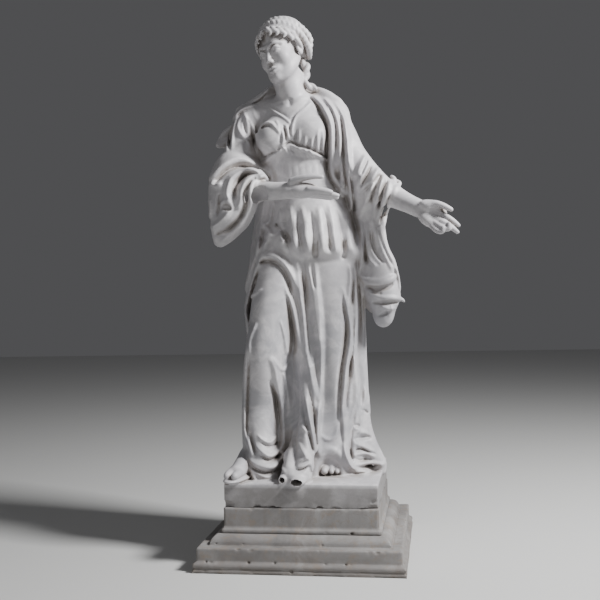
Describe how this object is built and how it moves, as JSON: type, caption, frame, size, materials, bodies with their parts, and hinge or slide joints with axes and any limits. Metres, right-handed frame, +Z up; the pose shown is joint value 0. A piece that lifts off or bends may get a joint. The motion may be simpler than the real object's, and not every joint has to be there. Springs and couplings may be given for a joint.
{
  "type": "marble statue on plinth",
  "caption": "Standing woman in a girdled classical dress and mantle, hands held out, on a low stepped square plinth.",
  "frame": {"origin": "middle of the plinth's underside", "axes": "+Z up, the figure faces -Y, her left is towards +X"},
  "size_m": [0.9198, 0.72, 1.9493],
  "materials": {
    "marble": "white marble, finely rubbed, weathered",
    "stained_marble": "white marble, stained and rough"
  },
  "bodies": {
    "root": {"figure": "marble", "die": "stained_marble", "base": "stained_marble"}
  },
  "joints": []
}
